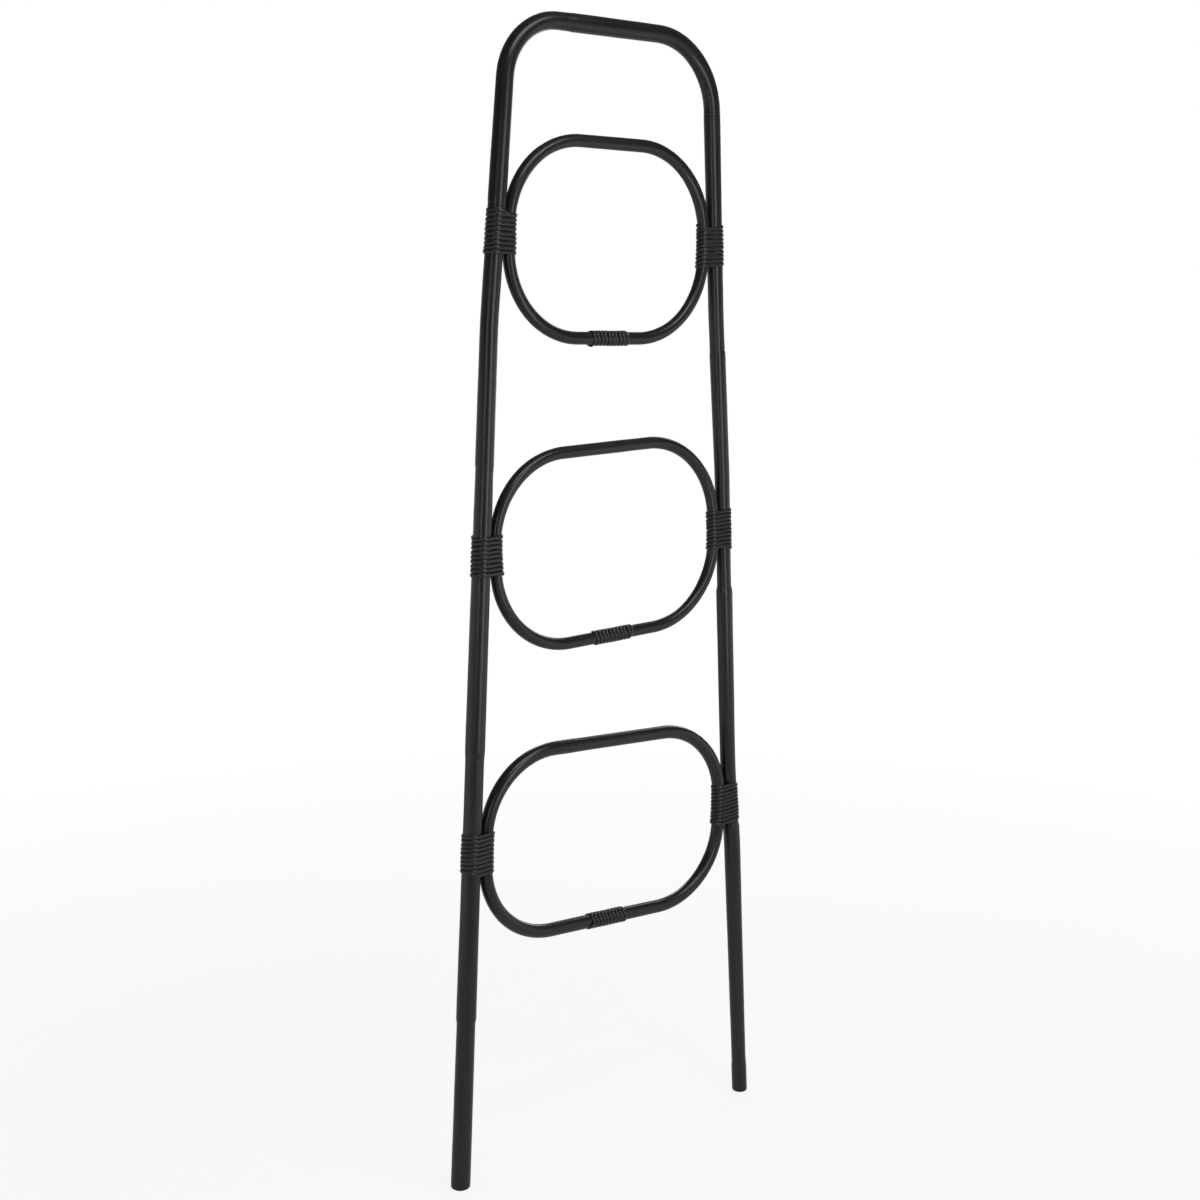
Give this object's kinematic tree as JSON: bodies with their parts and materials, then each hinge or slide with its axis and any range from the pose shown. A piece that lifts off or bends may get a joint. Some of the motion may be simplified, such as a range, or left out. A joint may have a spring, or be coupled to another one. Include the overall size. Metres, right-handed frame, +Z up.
{
  "type": "blanket ladder",
  "caption": "Leaning blanket ladder of black-painted bent rattan: a tall hoop narrowing to its rounded top, with rounded cane rings for rungs, lashed at every joint with split cane.",
  "frame": {"origin": "on the floor, at the centre of the bounding box, midway between the two feet", "axes": "+Z up along the ladder, +X to the right as seen from the front, +Y away from the viewer, towards the wall; the ladder's middle plane is Y = 0"},
  "size_m": [0.6097, 0.0352, 1.7735],
  "materials": {
    "cane": "satin black paint on smooth cane",
    "binding": "satin black paint on split cane",
    "screw_steel": "plain zinc-plated steel, hidden"
  },
  "bodies": {
    "root": {"hoop": "cane", "ring_top": "cane", "ring_middle": "cane", "ring_bottom": "cane", "screw_top_left": "screw_steel", "screw_top_right": "screw_steel", "screw_middle_left": "screw_steel", "screw_middle_right": "screw_steel", "screw_bottom_left": "screw_steel", "screw_bottom_right": "screw_steel", "brad_top_left": "screw_steel", "brad_top_right": "screw_steel", "brad_middle_left": "screw_steel", "brad_middle_right": "screw_steel", "brad_bottom_left": "screw_steel", "brad_bottom_right": "screw_steel", "lashing_top_left": "binding", "lashing_top_right": "binding", "lashing_top_scarf": "binding", "lashing_middle_left": "binding", "lashing_middle_right": "binding", "lashing_middle_scarf": "binding", "lashing_bottom_left": "binding", "lashing_bottom_right": "binding", "lashing_bottom_scarf": "binding"}
  },
  "joints": []
}
